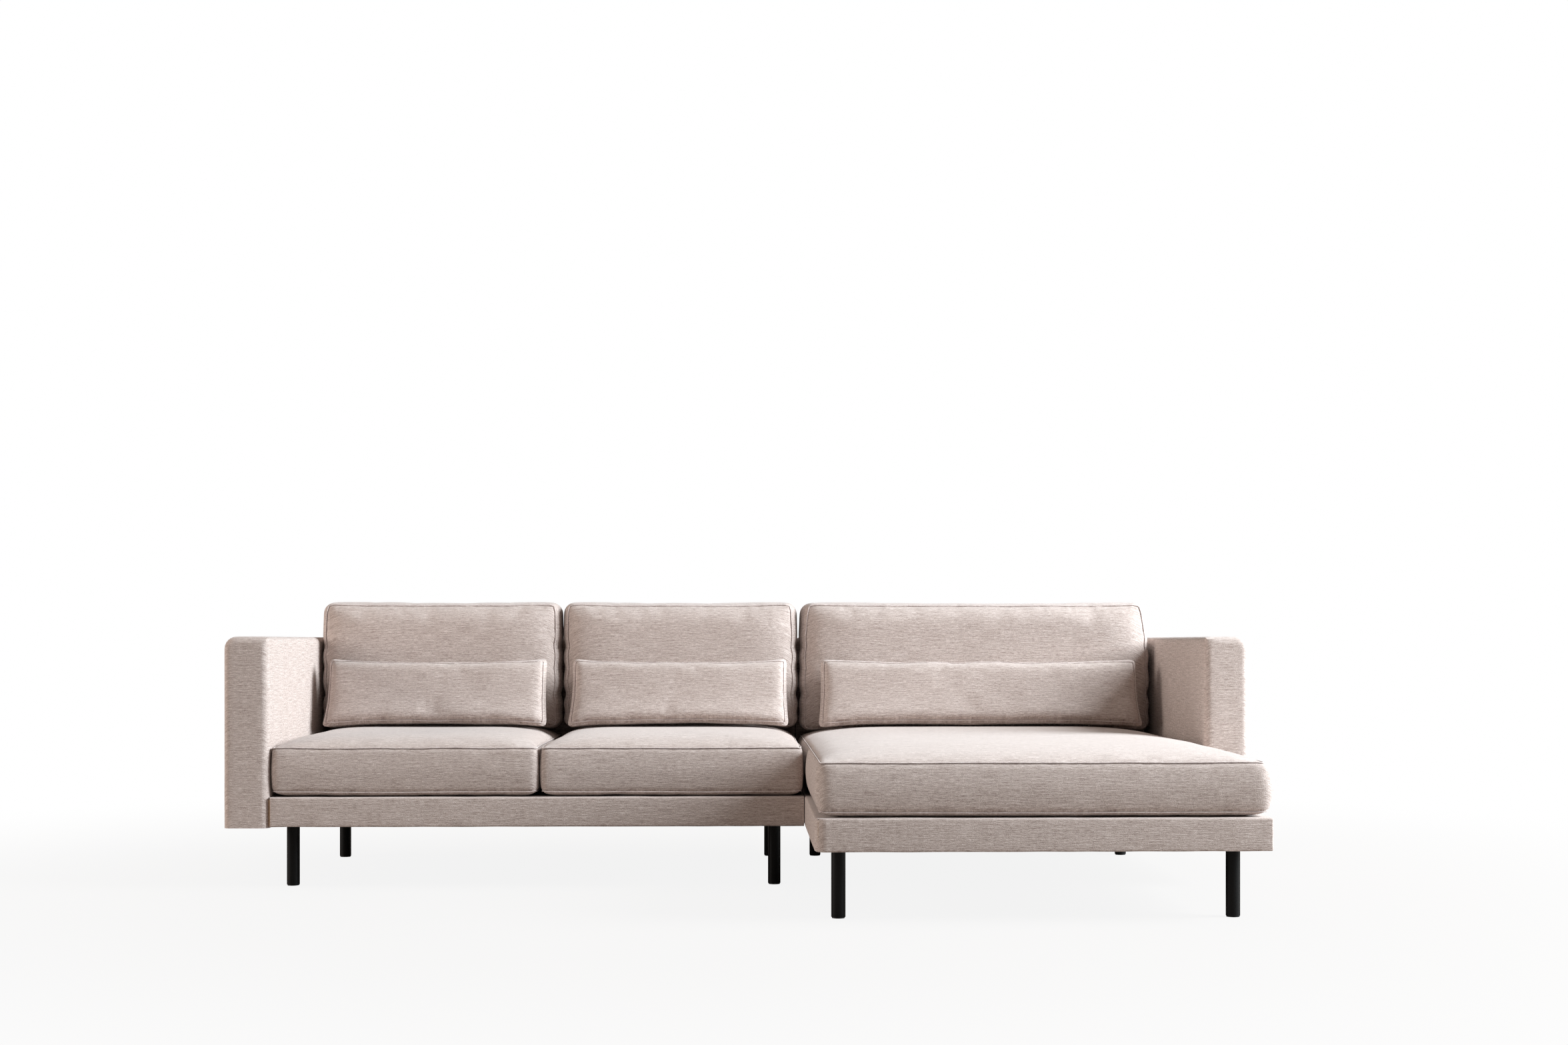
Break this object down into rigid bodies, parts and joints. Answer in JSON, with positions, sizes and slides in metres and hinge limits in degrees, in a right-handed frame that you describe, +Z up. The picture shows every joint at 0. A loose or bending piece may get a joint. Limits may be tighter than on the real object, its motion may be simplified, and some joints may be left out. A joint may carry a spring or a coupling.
{
  "type": "corner sofa",
  "caption": "Corner sofa: a low fabric sofa with an arm at the left, joined to a chaise that ends in the right arm, with loose seat, back and lumbar cushions on round metal legs",
  "frame": {"origin": "centre of the bounding box seen from above, on the floor", "axes": "+X to the right seen from the front, along the length; +Y to the back; +Z up"},
  "size_m": [2.88, 1.65, 0.82],
  "materials": {
    "upholstery": "matte",
    "deck_cloth": "matte",
    "dust_cloth": "matte",
    "webbing": "matte",
    "timber": "matte",
    "hardboard": "matte",
    "leg_paint": "gloss",
    "glide": "matte",
    "zinc_steel": "satin"
  },
  "bodies": {
    "frame": {"arm_bolts": "zinc_steel", "arm_dust_strips": "dust_cloth", "chaise_back_cover": "upholstery", "chaise_back_frame": "timber", "chaise_back_webbing": "webbing", "chaise_cross_rail": "timber", "chaise_deck_cloth": "deck_cloth", "chaise_dust_cover": "dust_cloth", "chaise_front_cover": "upholstery", "chaise_front_left_leg": "leg_paint", "chaise_front_rail": "timber", "chaise_front_right_leg": "leg_paint", "chaise_left_cover": "upholstery", "chaise_left_rail": "timber", "chaise_rear_left_leg": "leg_paint", "chaise_rear_rail": "timber", "chaise_rear_right_leg": "leg_paint", "chaise_right_cover": "upholstery", "chaise_right_rail": "timber", "chaise_seat_webbing": "webbing", "connector_straps": "zinc_steel", "connector_tongues": "zinc_steel", "left_arm_cover": "upholstery", "left_arm_frame": "timber", "left_arm_panels": "hardboard", "leg_corner_blocks": "timber", "leg_glides": "glide", "main_back_cover": "upholstery", "main_back_frame": "timber", "main_back_webbing": "webbing", "main_cross_rail": "timber", "main_deck_cloth": "deck_cloth", "main_dust_cover": "dust_cloth", "main_end_cover": "upholstery", "main_front_cover": "upholstery", "main_front_left_leg": "leg_paint", "main_front_rail": "timber", "main_front_right_leg": "leg_paint", "main_left_rail": "timber", "main_rear_left_leg": "leg_paint", "main_rear_rail": "timber", "main_rear_right_leg": "leg_paint", "main_right_rail": "timber", "main_seat_webbing": "webbing", "right_arm_cover": "upholstery", "right_arm_frame": "timber", "right_arm_panels": "hardboard"},
    "left_seat_cushion": {"left_seat_cushion": "upholstery"},
    "left_back_cushion": {"left_back_cushion": "upholstery"},
    "left_pillow": {"left_pillow": "upholstery"},
    "middle_seat_cushion": {"middle_seat_cushion": "upholstery"},
    "middle_back_cushion": {"middle_back_cushion": "upholstery"},
    "middle_pillow": {"middle_pillow": "upholstery"},
    "chaise_seat_cushion": {"chaise_seat_cushion": "upholstery"},
    "chaise_back_cushion": {"chaise_back_cushion": "upholstery"},
    "chaise_pillow": {"chaise_pillow": "upholstery"}
  },
  "joints": [
    {"name": "left_seat_slide", "type": "slide", "parent": "frame", "child": "left_seat_cushion", "axis": [0, -1, 0], "range_m": [0, 0.3]},
    {"name": "left_back_lift", "type": "slide", "parent": "frame", "child": "left_back_cushion", "axis": [0, 0, 1], "range_m": [0, 0.33]},
    {"name": "left_pillow_lift", "type": "slide", "parent": "frame", "child": "left_pillow", "axis": [0, -0.8, 0.6], "range_m": [0, 0.35]},
    {"name": "middle_seat_slide", "type": "slide", "parent": "frame", "child": "middle_seat_cushion", "axis": [0, -1, 0], "range_m": [0, 0.3]},
    {"name": "middle_back_lift", "type": "slide", "parent": "frame", "child": "middle_back_cushion", "axis": [0, 0, 1], "range_m": [0, 0.33]},
    {"name": "middle_pillow_lift", "type": "slide", "parent": "frame", "child": "middle_pillow", "axis": [0, -0.8, 0.6], "range_m": [0, 0.35]},
    {"name": "chaise_seat_slide", "type": "slide", "parent": "frame", "child": "chaise_seat_cushion", "axis": [0, -1, 0], "range_m": [0, 0.3]},
    {"name": "chaise_back_lift", "type": "slide", "parent": "frame", "child": "chaise_back_cushion", "axis": [0, 0, 1], "range_m": [0, 0.33]},
    {"name": "chaise_pillow_lift", "type": "slide", "parent": "frame", "child": "chaise_pillow", "axis": [0, -0.8, 0.6], "range_m": [0, 0.35]}
  ]
}
